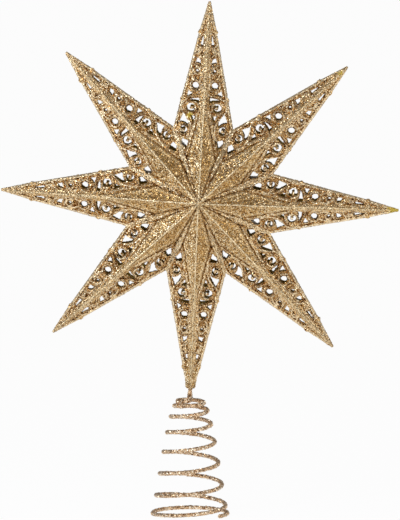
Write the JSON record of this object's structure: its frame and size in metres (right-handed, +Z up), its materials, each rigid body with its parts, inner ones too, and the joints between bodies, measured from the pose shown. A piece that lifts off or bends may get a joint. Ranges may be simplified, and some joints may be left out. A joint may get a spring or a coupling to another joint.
{
  "type": "christmas tree topper star",
  "caption": "Hollow faceted star with openwork scroll arms and a glitter finish, on a conical wire spring that is pushed over the leader of a Christmas tree.",
  "frame": {"origin": "middle of the spring's foot ring, level with its underside, where the leader of the tree enters", "axes": "+Z up along the spring, +X to the right seen from the front, -Y the way the star faces"},
  "size_m": [0.2278, 0.054, 0.2968],
  "materials": {
    "glitter_plastic": "champagne gold glitter over yellow moulded plastic",
    "glitter_wire": "champagne gold glitter over steel spring wire",
    "glue": "amber hot-melt glue"
  },
  "bodies": {
    "spring": {"spring": "glitter_wire"},
    "star": {"front_shell": "glitter_plastic", "back_shell": "glitter_plastic", "stem_glue": "glue"}
  },
  "joints": [
    {"name": "star_sway", "type": "hinge", "parent": "spring", "child": "star", "pos_m": [0, 0, 0.034], "axis": [0, 1, 0], "range_deg": [-20, 20], "stiffness_Nm_per_rad": 0.35, "springref_deg": -0.68, "deforming": ["spring"]}
  ]
}
